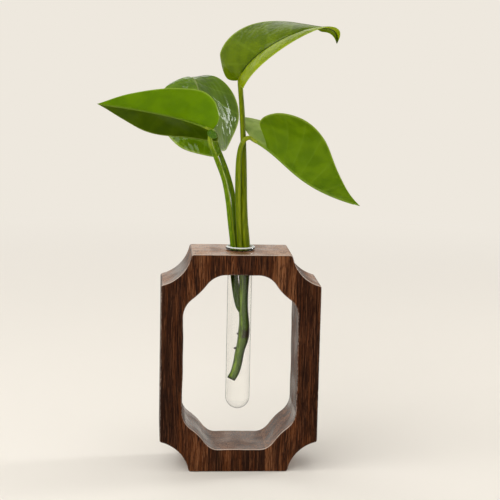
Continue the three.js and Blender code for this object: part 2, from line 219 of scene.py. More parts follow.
HALF_OUTLINE = np.array(
    [(0, 0), (-0.11, 0.42), (0.02, 0.86), (0.26, 1), (0.52, 0.8), (0.78, 0.4), (0.93, 0.12), (1, 0)]
)
# The rear leaf's lobes close behind its stalk.
CLOSED_OUTLINE = np.vstack((HALF_OUTLINE[:1], [(-0.12, 0.1)], HALF_OUTLINE[1:]))

# Camera, floor and light
CAMERA_PLACE = Vector((-61 * MM, -853 * MM, 285.6 * MM))
CAMERA_YAW = radians(4.5)
CAMERA_PITCH = radians(9.68)
CAMERA_ROLL = radians(1.257)
LENS_MM = 98.7
SENSOR_MM = 36
FLOOR_RADIUS = 1.2
COVE_RADIUS = 1.2
WALL_TOP = 1.3
BACKDROP_STARTS = (0.25, 1.1)  # the floor passes into the even backdrop over this distance
WORLD_LIGHT = 0.45

# Each soft lamp: place, what it faces, width, height and power in watts.
LAMPS = {
    "window_left": ((-0.8, -0.3, 0.9), (0, 0, 0.15), 0.7, 0.7, 4.5),
    "window_behind": ((-0.3, 0.9, 0.8), (0, 0, 0.2), 1.0, 0.6, 2.5),
    "window_right": ((1.1, 0.25, 0.38), (0, 0, 0.2), 0.2, 0.6, 5.5),
    "room_front": ((-0.45, -1.0, 0.8), (0, 0, 0.12), 0.9, 0.7, 6.0),
    "skylight": ((0.1, -0.05, 1.2), (0, 0, 0.1), 0.3, 0.2, 0.8),
}


def srgb(red, green, blue):
    """A linear colour from 0 to 255 display values."""
    def linear(value):
        share = value / 255
        return share / 12.92 if share <= 0.04045 else ((share + 0.055) / 1.055) ** 2.4
    return linear(red), linear(green), linear(blue), 1.0


STAGE_COLOUR = srgb(238, 232, 222)

# Wood
WOOD_PORE = srgb(18, 9, 6)
WOOD_DARKEST = srgb(32, 17, 11)
WOOD_DARK = srgb(50, 28, 18)
WOOD_MID = srgb(86, 47, 24)
WOOD_PALE = srgb(132, 86, 56)
# pale worn edges, also painted as a highlight where they face up
WOOD_WORN_AND_HIGHLIGHT = srgb(214, 194, 178)
# The level faces, which cut across the grain: end grain painted paler with a warm reflection
END_GRAIN_AND_REFLECTION_DARK = srgb(98, 58, 36)
END_GRAIN_AND_REFLECTION_MID = srgb(156, 104, 69)
END_GRAIN_AND_REFLECTION_PALE = srgb(192, 144, 108)
WARM_BLUR = 3 * MM  # how softly a lighter stretch of the wood begins and ends

GLASS_CLEAR = (0.992, 0.992, 0.986, 1.0)
# painted shade where the glass is seen edge on
GLASS_EDGE_SHADE = (0.2, 0.25, 0.22, 1.0)
GLASS_GLINT = (0.35, 0.35, 0.35, 1.0)  # keeps the pale room from veiling what is in the tube
# painted highlight on the lip's top
LIP_PAINTED_HIGHLIGHT = (0.95, 0.97, 0.95, 1.0)
# painted shade under the lip and at the glass's edges
GLASS_PAINTED_SHADE = (0.015, 0.016, 0.015, 1.0)
GLASS_TINT = (0.95, 0.97, 0.96, 1.0)  # of the lamps' light that passes
WATER_CLEAR = (0.992, 0.992, 0.982, 1.0)
WATER_TINT = (0.98, 0.99, 0.98, 1.0)

# Plant
LEAF_VEIN = srgb(150, 178, 60)
# Each leaf: upper side, underside, the light that comes through it, how far its veins
# show, how glossy it is above, how strongly it is creased between them, its rib's colour, and
# the tints of its plus and minus halves. Some paint light and shade: the right leaf's upper side
# is painted pale as a sheen, the top leaf's rib colour is a painted shade in its crease, the left
# leaf's plus half is tinted darker as painted shade and its minus half lighter as painted light,
# and the top leaf's plus half is tinted lighter as painted light.
LEAF_LOOKS = {
    "left": (
        srgb(66, 100, 52), srgb(98, 128, 3), srgb(188, 218, 4), 0.04, 0.3, 0.1,
        LEAF_VEIN, (0.54, 0.52, 0.9), (1.08, 1.1, 0.7),
    ),
    "rear": (
        srgb(88, 116, 10), srgb(104, 128, 30), srgb(185, 205, 20), 0.2, 0.85, 0.6,
        srgb(168, 182, 104), (0.92, 0.96, 0.5), (1.1, 1.15, 0.3),
    ),
    # the right leaf's upper side is painted pale as a sheen
    "right": (
        srgb(172, 190, 104), srgb(102, 130, 12), srgb(176, 200, 14), 0.14, 0.3, 0.3,
        LEAF_VEIN, (1, 1, 1), (1, 1, 1),
    ),
    # the top leaf's rib colour is a painted shade in its crease, and its plus half is painted
    # lighter
    "top": (
        srgb(98, 122, 4), srgb(104, 130, 6), srgb(190, 208, 8), 0.14, 0.35, 0.25,
        srgb(58, 78, 14), (1.6, 1.4, 0.9), (0.95, 0.92, 0.8),
    ),
}
LEAF_MARGIN = srgb(176, 194, 84)
LEAF_MOTTLE = (0.62, 0.7, 0.6)  # tints its darker patches
LEAF_GLOW = 0.4  # share of the light that comes through
# Each stalk: its colour, the paler colour of its joint and of its painted highlight line, and
# the side on which that line and groove run.
STALK_LOOKS = {
    "left": (srgb(104, 134, 0), srgb(186, 198, 60), (1, -0.8, 0)),
    "rear": (srgb(86, 114, 0), srgb(124, 142, 16), (0.3, -1, 0)),
    "right": (srgb(108, 126, 0), srgb(164, 172, 40), (0.3, -1, 0)),
    "top": (srgb(96, 110, 0), srgb(144, 156, 10), (-0.5, -1, 0)),
}
# Where a stalk is fuller and lies against its neighbour: height above the rim, reach along the
# stalk, added radius and shift along X, in mm
STALK_SWELLS = {
    "rear": (43, 14, 0.25, -0.6),
    "right": (42, 14, 0.2, 0.2),
    "top": (12, 26, 0.2, -0.45),
}
STALK_STREAK = (0.6, 0.66, 0.6)  # tints its darker streaks
STALK_WET = srgb(40, 62, 8)
STEM_GREEN = srgb(62, 88, 4)
# painted highlight and painted shade on the stem's sides
STEM_PAINTED_HIGHLIGHT = srgb(140, 168, 44)
STEM_PAINTED_SHADE = srgb(26, 36, 6)
STEM_SCAR = srgb(42, 28, 16)
SCAR_BELOW, SCAR_ABOVE = (86 * MM, 87 * MM), (91.5 * MM, 93 * MM)  # where the scar's ring ends
STEM_CUT = srgb(40, 44, 12)


class Shader:
    """Short names for adding and linking the nodes of one material or world."""

    def __init__(self, owner):
        owner.use_nodes = True
        self.owner = owner
        self.tree = owner.node_tree
        self.tree.nodes.clear()

    def add(self, kind, settings=None, numbered=(), output=0, **named):
        """One output of a new node. Values go to its inputs by number, in pairs, or by their
        names in Blender, with spaces as underscores."""
        node = self.tree.nodes.new("ShaderNode" + kind)
        for key, value in (settings or {}).items():
            setattr(node, key, value)
        by_name = ((key.replace("_", " "), value) for key, value in named.items())
        for key, value in (*numbered, *by_name):
            if isinstance(value, bpy.types.NodeSocket):
                self.tree.links.new(value, node.inputs[key])
            else:
                node.inputs[key].default_value = value
        return node.outputs[output]

    def math(self, operation, *values):
        return self.add("Math", {"operation": operation}, enumerate(values))

    def times(self, first, second):
        return self.math("MULTIPLY", first, second)

    def scaled(self, value, factor, added):
        return self.math("MULTIPLY_ADD", value, factor, added)

    def vector(self, operation, *values, output=0):
        return self.add("VectorMath", {"operation": operation}, enumerate(values), output)

    def axis(self, vector, letter):
        return self.add("SeparateXYZ", output=letter, Vector=vector)

    def mix(self, share, first, second):
        """A colour between two, by share."""
        return self.add("Mix", {"data_type": "RGBA"}, zip((0, 6, 7), (share, first, second)), 2)

    def choose(self, share, first, second):
        """A surface between two, by share."""
        return self.add("MixShader", None, enumerate((share, first, second)))

    def spread(self, value, low, high, new_low=0.0, new_high=1.0):
        """A value's stretch from low to high, spread smoothly over new_low to new_high."""
        numbered = enumerate((value, low, high, new_low, new_high))
        return self.add("MapRange", {"interpolation_type": "SMOOTHSTEP"}, numbered)

    def band(self, value, rise, fall):
        """1 between two places, rising over the first stretch and falling over the second."""
        return self.times(self.spread(value, *rise), self.spread(value, *fall, 1.0, 0.0))

    def ramp(self, value, *stops):
        """A colour ramp. Each stop is a place from 0 to 1 and a colour."""
        colour = self.add("ValToRGB", output="Color", Fac=value)
        elements = colour.node.color_ramp.elements
        while len(elements) < len(stops):
            elements.new(0.5)
        for element, (place, shown) in zip(elements, stops):
            element.position = place
            element.color = shown
        return colour

    def place(self):
        """Where a point of the surface is in its own piece, in metres."""
        return self.add("TexCoord", output="Object")

    def field(self, name):
        """The value of this name that add_mesh kept at the points."""
        return self.add("Attribute", {"attribute_name": name}, output="Fac")

    def facing(self):
        """0 where the surface faces the eye, up to 1 where it is seen edge on."""
        return self.add("LayerWeight", output="Facing", Blend=0.5)

    def marks(self, place, across, along, detail=1.0, roughness=0.5):
        """Noise whose marks are this wide, and this long upwards."""
        stretched = self.vector("MULTIPLY", place, (1 / across, 1 / across, 1 / along))
        noise = {"Scale": 1.0, "Detail": detail, "Roughness": roughness}
        return self.add("TexNoise", output="Fac", Vector=stretched, **noise)

    def bump(self, strength, distance, height, **base):
        return self.add("Bump", Strength=strength, Distance=distance, Height=height, **base)

    def finish(self, surface, kind="OutputMaterial"):
        """Shows this surface, and gives the finished material or world."""
        output = self.tree.nodes.new("ShaderNode" + kind)
        self.tree.links.new(surface, output.inputs["Surface"])
        return self.owner


def new_material(name):
    return Shader(bpy.data.materials.new(name))


# Camera, floor and light

def add_object(name, data):
    thing = bpy.data.objects.new(name, data)
    bpy.context.scene.collection.objects.link(thing)
    return thing


def add_camera():
    data = bpy.data.cameras.new("camera")
    data.lens = LENS_MM
    data.sensor_width = SENSOR_MM
    data.clip_start = 0.01
    camera = add_object("camera", data)
    turn = Matrix.Identity(4)
    for angle, axis in ((-CAMERA_YAW, "Z"), (pi / 2 - CAMERA_PITCH, "X"), (CAMERA_ROLL, "Z")):
        turn @= Matrix.Rotation(angle, 4, axis)
    camera.matrix_world = Matrix.Translation(CAMERA_PLACE) @ turn
    bpy.context.scene.camera = camera


def add_stage():
    """A round floor that curves up into a low wall all round, so that no horizon shows."""
    cove = arc(FLOOR_RADIUS, COVE_RADIUS, COVE_RADIUS, -pi / 2, 0, 12)
    profile = [(0.0, 0.0), *cove, (FLOOR_RADIUS + COVE_RADIUS, WALL_TOP)]
    floor = add_mesh("studio_floor", lathe(profile, 96))
    mat = new_material("pale_floor")
    paint = mat.add("BsdfPrincipled", Base_Color=STAGE_COLOUR, Roughness=0.9)
    backdrop = mat.add("Emission", Color=STAGE_COLOUR, Strength=1.0)
    far = mat.spread(mat.vector("LENGTH", mat.place(), output="Value"), *BACKDROP_STARTS)
    shown = mat.times(far, seen_directly(mat))
    floor.data.materials.append(mat.finish(mat.choose(shown, paint, backdrop)))


def seen_directly(mat):
    """1 where the picture, a glossy surface or glass shows the stage, 0 where it only lights."""
    camera, glossy, through = (
        mat.add("LightPath", output=f"Is {ray} Ray") for ray in ("Camera", "Glossy", "Transmission")
    )
    return mat.math("MAXIMUM", camera, mat.math("MAXIMUM", glossy, through))


def add_world():
    """Soft light from all round, and the backdrop's colour where it is seen directly."""
    mat = Shader(bpy.data.worlds.new("studio"))
    light = mat.add("Background", Color=(1.0, 1.0, 1.0, 1.0), Strength=WORLD_LIGHT)
    backdrop = mat.add("Background", Color=STAGE_COLOUR, Strength=1.0)
    shown = mat.choose(seen_directly(mat), light, backdrop)
    bpy.context.scene.world = mat.finish(shown, "OutputWorld")


def add_lamps():
    for name, (place, target, width, height, power) in LAMPS.items():
        data = bpy.data.lights.new(name, "AREA")
        data.shape = "RECTANGLE"
        data.size = width
        data.size_y = height
        data.energy = power
        lamp = add_object(name, data)
        lamp.location = place
        lamp.rotation_euler = (Vector(target) - Vector(place)).to_track_quat("-Z", "Y").to_euler()
        lamp.visible_transmission = False


# Curves and meshes

def shape(points, faces, **fields):
    """A surface as points, faces and values at the points, for add_mesh."""
    return {"points": np.asarray(points, float), "faces": faces, "fields": fields}


def add_mesh(name, *shapes):
    """One object of these shapes, with every field that any of them has."""
    faces = []
    start = 0
    for each in shapes:
        faces += [tuple(start + int(corner) for corner in face) for face in each["faces"]]
        start += len(each["points"])
    mesh = bpy.data.meshes.new(name)
    mesh.from_pydata(np.vstack([each["points"] for each in shapes]).tolist(), [], faces)
    mesh.polygons.foreach_set("use_smooth", [True] * len(mesh.polygons))
    for field in sorted({key for each in shapes for key in each["fields"]}):
        values = [
            np.broadcast_to(each["fields"].get(field, 0.0), len(each["points"])) for each in shapes
        ]
        layer = mesh.attributes.new(field, "FLOAT", "POINT")
        layer.data.foreach_set("value", np.concatenate(values).astype(np.float32))
    mesh.update()
    return add_object(name, mesh)


def tidy(thing, sharp_degrees):
    """Joins points that coincide, turns faces out, keeps many-sided faces flat and edges crisp."""
    work = bmesh.new()
    work.from_mesh(thing.data)
    bmesh.ops.remove_doubles(work, verts=work.verts, dist=1e-7)
    bmesh.ops.dissolve_degenerate(work, edges=work.edges, dist=1e-8)
    bmesh.ops.recalc_face_normals(work, faces=work.faces)
    for face in work.faces:
        face.smooth = len(face.verts) <= 4
    for edge in work.edges:
        if len(edge.link_faces) == 2:
            edge.smooth = edge.calc_face_angle() < radians(sharp_degrees)
    work.to_mesh(thing.data)
    work.free()


def finish_piece(thing, material, body, node, slot):
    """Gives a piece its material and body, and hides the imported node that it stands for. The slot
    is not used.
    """
    thing.data.materials.clear()
    thing.data.materials.append(material)
    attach(thing, body)
    if node:
        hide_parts(node)


def add_piece(name, shapes, sharp_degrees, *details):
    """A tidied piece of these shapes. The details are those of finish_piece."""
    thing = add_mesh(name, *shapes)
    tidy(thing, sharp_degrees)
    finish_piece(thing, *details)


def arc(centre_x, centre_z, radius, start, end, steps):
    angles = np.linspace(start, end, steps + 1)
    across, height = radius * np.cos(angles), radius * np.sin(angles)
    return np.column_stack((centre_x + across, centre_z + height))


def lathe(profile, sides):
    """A surface turned round the Z axis. A profile point on the axis becomes one vertex."""
    points = []
    rings = []
    for radius, height in profile:
        count = sides if radius >= 1e-9 else 1
        start = len(points)
        rings.append([start + side % count for side in range(sides)])
        for angle in 2 * pi * np.arange(count) / sides:
            points.append((radius * cos(angle), radius * sin(angle), height))
    faces = []
    for low, high in zip(rings, rings[1:]):
        for side in range(sides):
            after = (side + 1) % sides
            faces.append(tuple(dict.fromkeys((low[side], low[after], high[after], high[side]))))
    return shape(points, faces)


def ring_faces(rows, sides):
    """The faces between rings of points that follow each other."""
    for low in range(0, (rows - 1) * sides, sides):
        for side in range(sides):
            after = (side + 1) % sides
            yield low + side, low + after, low + sides + after, low + sides + side


def unit(vectors):
    return vectors / np.maximum(np.linalg.norm(vectors, axis=-1, keepdims=True), 1e-12)


def dot(first, second):
    return np.sum(first * second, axis=-1, keepdims=True)


def bell(distance):
    """1 at no distance, and almost 0 from 2 on."""
    return np.exp(-(distance**2))


def hermite(here, after, leave, arrive, part):
    cubic = 2 * here - 2 * after + leave + arrive
    square = 3 * after - 3 * here - 2 * leave - arrive
    return ((cubic * part + square) * part + leave) * part + here


def spline(points, shares):
    """Points of a uniform smooth curve through these points, at these shares of their count."""
    points = np.asarray(points, float)
    spot = np.clip(np.asarray(shares, float), 0, 1) * (len(points) - 1)
    first = np.minimum(spot.astype(int), len(points) - 2)
    ends = np.vstack((points[:1], points, points[-1:]))
    before, here, after, beyond = (ends[first + step] for step in range(4))
    part = (spot - first)[..., None]
    return hermite(here, after, (after - before) / 2, (beyond - here) / 2, part)


def profile_at(knots, shares):
    """A radius or width along a limb: a smooth curve through these evenly spaced values."""
    return spline(np.array(knots)[:, None], shares)[:, 0]


def smooth_route(points, count):
    """A centripetal curve through these points, as count points at even steps of its length."""
    points = np.asarray(points, float)
    ends = np.vstack((2 * points[0] - points[1], points, 2 * points[-1] - points[-2]))
    part = np.linspace(0, 1, 24, endpoint=False)[:, None]
    fine = []
    for before, here, after, beyond in zip(ends, ends[1:], ends[2:], ends[3:]):
        lead, span, tail = (
            sqrt(np.linalg.norm(b - a))
            for a, b in ((before, here), (here, after), (after, beyond))
        )
        leave = (here - before) / lead - (after - before) / (lead + span) + (after - here) / span
        arrive = (after - here) / span - (beyond - here) / (span + tail) + (beyond - after) / tail
        fine.append(hermite(here, after, leave * span, arrive * span, part))
    return evenly(np.vstack((*fine, points[-1:])), count)


def lengths_along(path):
    return np.concatenate(([0], np.cumsum(np.linalg.norm(np.diff(path, axis=0), axis=1))))


def evenly(path, count):
    """A path of straight steps, as count points at even steps of its length."""
    lengths = lengths_along(path)
    wanted = np.linspace(0, lengths[-1], count)
    return np.column_stack([np.interp(wanted, lengths, values) for values in path.T])


def limb(route, radii, facing, sides, grooved=0.0, flute=0.0, **fields):
    """A closed stalk along a route. grooved sinks the side that faces this way, flute ribs it."""
    along = unit(np.gradient(route, axis=0))
    first = np.zeros_like(route)
    first[0] = unit(np.asarray(facing, float) - dot(facing, along[0]) * along[0])
    for step in range(1, len(route)):
        first[step] = unit(first[step - 1] - dot(first[step - 1], along[step]) * along[step])
    second = np.cross(along, first)
    angles = 2 * np.pi * np.arange(sides) / sides
    from_front = np.minimum(angles, 2 * np.pi - angles)
    section = 1 - grooved * bell(from_front / GROOVE_ANGLE) + flute * np.cos(FLUTES * angles)
    reach = (radii[:, None] * section)[..., None]
    rings = (
        route[:, None]
        + reach * np.cos(angles)[:, None] * first[:, None]
        + reach * np.sin(angles)[:, None] * second[:, None]
    )
    faces = list(ring_faces(len(route), sides))
    start = len(route) * sides
    last = start - sides
    for side in range(sides):
        after = (side + 1) % sides
        faces += [(start, after, side), (start + 1, last + side, last + after)]
    lengths = lengths_along(route)
    around = np.concatenate((np.tile(from_front / (2 * np.pi), len(route)), (0, 0)))
    upward = np.concatenate((np.repeat(lengths / lengths[-1], sides), (0, 1)))
    points = np.vstack((rings.reshape(-1, 3), route[:1], route[-1:]))
    return shape(points, faces, around=around, upward=upward, **fields)


# Wooden frame

def scoop_corner():
    """The lower left scoop, from the foot round to the side."""
    at_foot = asin(SCOOP_BEYOND / SCOOP_RADIUS)
    at_side = acos(SCOOP_OUTSIDE / SCOOP_RADIUS)
    return arc(-FRAME_WIDTH / 2 - SCOOP_OUTSIDE, -SCOOP_BEYOND, SCOOP_RADIUS, at_foot, at_side, 40)


def window_corner(rail_height):
    """The window's lower left corner, from the rail round to the stile."""
    scoop = np.array((-FRAME_WIDTH / 2 - SCOOP_OUTSIDE, -SCOOP_BEYOND))
    bulge = SCOOP_RADIUS + SCOOP_BAND
    reach = bulge + WINDOW_FILLET
    # from the scoop's middle to those of the fillets
    rail_z = SCOOP_BEYOND + rail_height + WINDOW_FILLET
    stile_x = SCOOP_OUTSIDE + STILE_WIDTH + WINDOW_FILLET
    rail = np.array((sqrt(reach**2 - rail_z**2), rail_z))
    stile = np.array((stile_x, sqrt(reach**2 - stile_x**2)))
    rail_angle, stile_angle = atan2(rail[1], rail[0]), atan2(stile[1], stile[0])
    beside_rail = arc(*(scoop + rail), WINDOW_FILLET, -pi / 2, rail_angle - pi, 18)
    over_scoop = arc(*scoop, bulge, rail_angle, stile_angle, 18)
    beside_stile = arc(*(scoop + stile), WINDOW_FILLET, stile_angle + pi, pi, 18)
    return np.vstack((beside_rail, over_scoop[1:-1], beside_stile))


def upside_down(path):
    """A path's mirror image in the frame's middle height, run the other way."""
    return np.column_stack((path[::-1, 0], FRAME_HEIGHT - path[::-1, 1]))


def mirror(path):
    return path * np.array([-1, 1])


def rounded(path, radius):
    """A path whose corners sharper than 30 degrees are rounded off."""
    along = lengths_along(path)
    kept = np.ones(len(path), bool)
    bends = []
    for index in range(1, len(path) - 1):
        arrive, leave = unit(path[index] - path[index - 1]), unit(path[index + 1] - path[index])
        turn = atan2(arrive[0] * leave[1] - arrive[1] * leave[0], np.dot(arrive, leave))
        if abs(turn) < radians(30):
            continue
        back = radius * tan(abs(turn) / 2)
        kept &= np.abs(along - along[index]) > back
        inward = copysign(radius, turn) * np.array((-arrive[1], arrive[0]))
        centre = path[index] - arrive * back + inward
        for share in np.linspace(0, 1, 9):
            sine, cosine = sin(turn * share), cos(turn * share)
            bend = centre - inward @ np.array([(cosine, sine), (-sine, cosine)])
            bends.append((along[index] + back * (2 * share - 1), bend))
    pairs = [*zip(along[kept], path[kept]), *bends]
    return np.array([point for _, point in sorted(pairs, key=lambda pair: pair[0])])


def divided(path, longest):
    """A path with its long straight steps cut into shorter ones."""
    result = [path[:1]]
    for here, after in zip(path, path[1:]):
        cuts = max(1, ceil(np.linalg.norm(after - here) / longest))
        result.append(here + (after - here) * np.linspace(0, 1, cuts + 1)[1:, None])
    return np.vstack(result)


def to_left(path):
    """At each point of a path, the direction square to it, on the left of its way."""
    steps = unit(np.diff(path, axis=0))
    along = unit(np.vstack((steps[:1], steps[1:] + steps[:-1], steps[-1:])))
    return np.column_stack((-along[:, 1], along[:, 0]))


def outer_path():
    """The frame's left outline, from the middle of the foot to the middle of the top."""
    scoop = scoop_corner()
    path = np.vstack(([[0, 0]], scoop, upside_down(scoop), [[0, FRAME_HEIGHT]]))
    return divided(rounded(path, CORNER_ROUNDING), OUTLINE_STEP)


def window_path(shift):
    """The window's left outline, from the middle of its foot to the middle of its head, as sawn
    and sanded by hand: it wanders a little, and its foot dips beside the corners."""
    low, high = window_corner(BOTTOM_RAIL_HEIGHT), window_corner(TOP_RAIL_HEIGHT)
    foot, head = [[0, BOTTOM_RAIL_HEIGHT]], [[0, FRAME_HEIGHT - TOP_RAIL_HEIGHT]]
    path = divided(np.vstack((foot, low, upside_down(high), head)), OUTLINE_STEP / 2)
    along = lengths_along(path)
    wander = 0.6 * np.sin(along / LONG_WANDER + shift)
    wander += 0.4 * np.sin(along / SHORT_WANDER + 2 * shift)
    from_end = np.clip(np.minimum(along, along[-1] - along) / STEADY_ENDS, 0, 1)
    moved = path + to_left(path) * (HAND_CUT * wander * from_end)[:, None]
    dip = bell((np.abs(path[:, 0]) - DIP_PLACE) / DIP_WIDTH)
    moved[:, 1] -= WINDOW_DIP * dip * (path[:, 1] < FRAME_HEIGHT / 2)
    return moved


def clipped(path, low, high):
    """The stretch of a path that runs between two upright lines, ending exactly on them."""
    def crossing(inner, outer):
        line = low if outer[0] <= low else high
        return outer + (inner - outer) * (line - outer[0]) / (inner[0] - outer[0])

    kept = np.flatnonzero((path[:, 0] > low) & (path[:, 0] < high))
    first, last = kept[0], kept[-1]
    start = crossing(path[first], path[first - 1])
    end = crossing(path[last], path[last + 1])
    return np.vstack((start, path[first : last + 1], end))


def section_rows():
    """The wood's section from front to back: how far its edge is eased, the depth, and the share of
    rubbed edge and painted highlight.
    """
    front = [(EASED_EDGE + WEAR_REACH, 0.0, 0.0)]
    for angle in np.linspace(0, pi / 2, 6):
        inset, depth = EASED_EDGE * (1 - sin(angle)), EASED_EDGE * (1 - cos(angle))
        front.append((inset, depth, sin(2 * angle) ** 2))
    front.append((0.0, EASED_EDGE + WEAR_REACH, 0.0))
    inner = [(0.0, depth, 0.0) for depth in np.linspace(3 * MM, FRAME_DEPTH - 3 * MM, 9)]
    back = [(inset, FRAME_DEPTH - depth, wear) for inset, depth, wear in reversed(front)]
    return [(inset, depth - FRAME_DEPTH / 2, wear) for inset, depth, wear in front + inner + back]


def wood_piece(name, *stretches):
    """A piece of the frame. Each stretch is an open path and its directions into the wood, and
    they follow each other round the piece, joined along the glue lines, where the directions
    turn to run along the glue."""
    loop = np.vstack([path for path, _ in stretches])
    into = np.vstack([directions for _, directions in stretches])
    from_glue = np.abs(loop[:, :1] - (LEFT_GLUE, RIGHT_GLUE)).min(axis=1)
    share = np.clip(from_glue / GLUE_TURN, 0, 1)
    upright = np.where(np.abs(into[:, 1]) > 0.3, into[:, 1], 1)
    into = np.column_stack((into[:, 0] * share, into[:, 1] * share + (1 - share) / upright))
    rows = section_rows()
    rings = []
    for inset, depth, _ in rows:
        ring = loop + into * inset
        rings.append(np.column_stack((ring[:, 0], np.full(len(ring), depth), ring[:, 1])))
    count = len(loop)
    last = (len(rows) - 1) * count
    faces = [tuple(range(count)), tuple(range(last + count - 1, last - 1, -1))]
    faces += [(a, d, c, b) for a, b, c, d in ring_faces(len(rows), count)]
    wear = np.repeat([each[2] for each in rows], count)
    piece = add_mesh(name, shape(np.vstack(rings), faces, wear=wear))
    tidy(piece, WOOD_SHARP)
    return piece


def add_stave(name, glue, shift, flip):
    """A side stave, made on the left and mirrored to the right if flip is set."""
    rim = clipped(outer_path(), -FRAME_WIDTH, glue)
    hole = clipped(window_path(shift), -FRAME_WIDTH, glue)
    stretches = [(rim, -to_left(rim)), (hole[::-1], to_left(hole)[::-1])]
    if flip:
        stretches = [(mirror(path), mirror(into)) for path, into in stretches]
    return wood_piece(name, *stretches)


def add_block(name, top):
    """The middle strip's upper or lower part."""
    left, right = window_path(LEFT_SHIFT), mirror(window_path(RIGHT_SHIFT))
    middle = FRAME_HEIGHT / 2
    if top:
        left, right = left[left[:, 1] > middle], right[right[:, 1] > middle][::-1]
    else:
        left, right = left[left[:, 1] < middle][::-1], right[right[:, 1] < middle]
    hole = clipped(np.vstack((left, right[1:])), LEFT_GLUE, RIGHT_GLUE)
    level, sign = (FRAME_HEIGHT, 1.0) if top else (0.0, -1.0)
    face = divided(np.array([[RIGHT_GLUE, level], [LEFT_GLUE, level]]), OUTLINE_STEP)
    into_face = np.tile([0.0, -sign], (len(face), 1))
    return wood_piece(name, (face, into_face), (hole, sign * to_left(hole)))


def bore(block):
    """Cuts the round bore for the tube into the top block, with its upper edge eased."""
    low, high = FRAME_HEIGHT - 3 * TOP_RAIL_HEIGHT, FRAME_HEIGHT + 2 * BORE_EASE
    wide = BORE_RADIUS + 3 * BORE_EASE
    flank = [(BORE_RADIUS, low), (BORE_RADIUS, FRAME_HEIGHT - BORE_EASE), (wide, high)]
    cutter = add_mesh("bore_cutter", lathe([(0, low), *flank, (0, high)], 96))
    tool = block.modifiers.new("bore", "BOOLEAN")
    tool.operation = "DIFFERENCE"
    tool.solver = "EXACT"
    tool.object = cutter
    graph = bpy.context.evaluated_depsgraph_get()
    mesh = bpy.data.meshes.new_from_object(block.evaluated_get(graph))
    block.modifiers.clear()
    block.data = mesh
    bpy.data.objects.remove(cutter)
    tidy(block, WOOD_SHARP)


def add_frame():
    left = add_stave("walnut_left_stave", LEFT_GLUE, LEFT_SHIFT, False)
    right = add_stave("walnut_right_stave", -RIGHT_GLUE, RIGHT_SHIFT, True)
    top = add_block("walnut_top_block", True)
    bottom = add_block("walnut_bottom_block", False)
    bore(top)
    left_wood = walnut("walnut_left", (0.0, 0.0, 0.0), (-34 * MM, -17 * MM), 1.1)
    right_wood = walnut("walnut_right", (0.31, 0.12, 0.05), (15 * MM, 35 * MM), 1.1)
    middle_wood = walnut("walnut_middle", (0.62, 0.2, 0.4), (-13 * MM, -4 * MM), 0.5)
    for piece, wood, node, slot in (
        (left, left_wood, "frame_left_stave", "walnut_side"),
        (right, right_wood, "frame_right_stave", "walnut_side"),
        (top, middle_wood, "frame_top_block", "walnut_middle"),
        (bottom, middle_wood, "frame_bottom_block", "walnut_middle"),
    ):
        finish_piece(piece, wood, "frame", node, slot)


# Tube and water

def add_tube():
    lip = LIP_DIAMETER / 2
    half = LIP_HEIGHT / 2
    mouth = INNER_RADIUS + MOUTH_FLARE
    bead = lip - half - mouth
    profile = np.vstack(
        (
            arc(0, BALL_Z, TUBE_RADIUS, -pi / 2, 0, 40),
            (TUBE_RADIUS, SEAT_Z - TUBE_WALL),
            (TUBE_RADIUS + BORE_CLEARANCE / 2, SEAT_Z),
            arc(lip - half, SEAT_Z + half, half, -pi / 2, pi / 2, 20),
            arc(mouth + bead, RIM_Z - bead, bead, pi / 2, pi, 10)[1:],
            (INNER_RADIUS, SEAT_Z - LIP_HEIGHT),
            arc(0, BALL_Z, INNER_RADIUS, 0, -pi / 2, 40),
        )
    )
    shapes = [lathe(profile, TUBE_SIDES)]
    add_piece("test_tube", shapes, 50, clear_glass(), "tube", "glass_tube", "clear_glass")


def add_water():
    radius = INNER_RADIUS + WATER_IN_GLASS
    inward = np.linspace(radius, 0, 16)
    surface = WATER_LEVEL + MENISCUS * np.exp(-(radius - inward) / MENISCUS)
    wall = arc(0, BALL_Z, radius, -pi / 2, 0, 40)
    shapes = [lathe(np.vstack((wall, np.column_stack((inward, surface)))), TUBE_SIDES)]
    add_piece("tube_water", shapes, 60, clear_water(), "tube", None, "clear_glass")


# Vine cutting

def at(x, y, height):
    """A point of the cutting: x and y from the tube's axis, and height above the tube's rim."""
    return np.array((x, y, RIM_Z + height))


def beside_mouth(own):
    return STRANDS["right"]["radius"] + own + MOUTH_GAP


def beside_node(own):
    return STRAND_NECK * (STRANDS["right"]["radius"] + own) + PLANT_GAP


def inside_tube(name):
    """A strand's way up inside the tube, and last the place where it passes the mouth."""
    radius = STRANDS[name]["radius"]
    if name == "left":
        beside_stem = STEM_SIDE - STEM_RADIUS - radius - 2 * PLANT_GAP
        left_of_middle = MOUTH_MIDDLE - beside_mouth(radius)
        return [
            at(beside_stem, -0.4 * MM, -0.432 * STEM_DEPTH),
            at(beside_stem, -0.6 * MM, -0.273 * STEM_DEPTH),
            at(left_of_middle + LEFT_LEAN, -0.9 * MM, -0.08 * STEM_DEPTH),
            at(left_of_middle, -1 * MM, MOUTH_RISE),
        ]
    # x and y at the node, and then at the mouth
    beside = beside_node(radius)
    behind = STRANDS["right"]["radius"] + radius + PLANT_GAP
    node_x, node_y, mouth_x, mouth_y = {
        "rear": (REAR_SHIFT, beside, MOUTH_MIDDLE - REAR_LEAN, behind),
        "right": (0, 0, MOUTH_MIDDLE, 0),
        "top": (beside, 0, MOUTH_MIDDLE + beside_mouth(radius), 0),
    }[name]
    node = NODE_MIDDLE + node_x, node_y - NODE_BACK
    low, high = at(*node, -NODE_DEPTH), at(*node, NODE_RISE - NODE_DEPTH)
    return [low, high, at(mouth_x, mouth_y, MOUTH_RISE)]


def petiole_route(name):
    strand = STRANDS[name]
    inside = inside_tube(name)
    return np.vstack((inside, inside[-1] + np.array(strand["route"]) * strand["rise"]))


